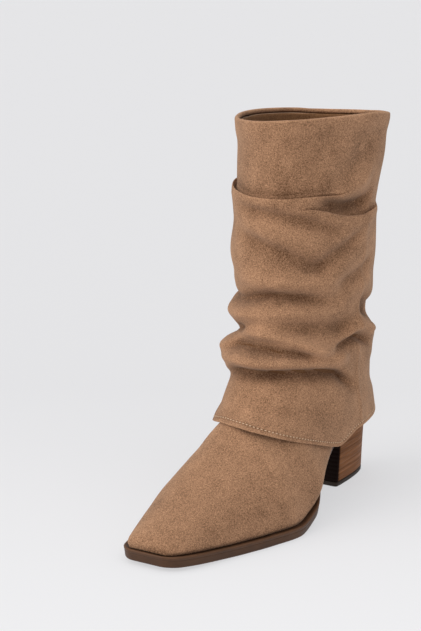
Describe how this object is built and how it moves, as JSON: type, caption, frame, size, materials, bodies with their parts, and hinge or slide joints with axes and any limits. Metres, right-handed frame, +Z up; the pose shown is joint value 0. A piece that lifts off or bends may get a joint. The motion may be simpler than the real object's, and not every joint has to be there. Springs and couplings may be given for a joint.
{
  "type": "slouch boot with a fold-down sleeve",
  "caption": "Left mid-calf pull-on slouch boot of suede, squared toe, fold-down sleeve with a slanted hem, stacked block heel.",
  "frame": {"origin": "middle of the ground face of the top lift under the heel", "axes": "+X towards the toe, +Y towards the outer side of the foot, +Z up"},
  "size_m": [0.2715, 0.104, 0.274],
  "materials": {
    "sole_rubber": "brown moulded rubber, satin",
    "stacked_leather": "stacked leather with fine level layers, satin",
    "lift_rubber": "dark brown rubber, matt",
    "lining_leather": "smooth lining leather, matt",
    "suede": "taupe suede with a soft nap",
    "suede_sleeve": "taupe suede with a soft nap"
  },
  "bodies": {
    "root": {"outsole": "sole_rubber", "heel_block": "stacked_leather", "top_lift": "lift_rubber", "insole": "lining_leather", "upper": "suede", "shaft_cuff": "suede_sleeve"}
  },
  "joints": []
}
